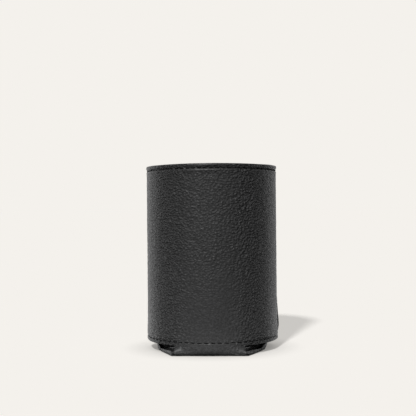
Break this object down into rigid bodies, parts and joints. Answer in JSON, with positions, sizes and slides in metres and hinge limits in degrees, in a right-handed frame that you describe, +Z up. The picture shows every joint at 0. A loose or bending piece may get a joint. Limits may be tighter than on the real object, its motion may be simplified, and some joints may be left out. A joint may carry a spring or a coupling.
{
  "type": "can cooler sleeve",
  "caption": "Open-topped round sleeve with a stitched leather cover and a foam lining, which slips over a drinks can to keep it cold.",
  "frame": {"origin": "middle of the underside of the base, where the sleeve rests", "axes": "+Z up through the open top, -Y to the front, where the base has a straight edge, and +X to the right-hand side seam"},
  "size_m": [0.0758, 0.0748, 0.105],
  "materials": {
    "leather": "pebbled, satin",
    "foam": "matte knit-faced foam"
  },
  "bodies": {
    "root": {"leather_cover": "leather", "foam_lining": "foam"}
  },
  "joints": []
}
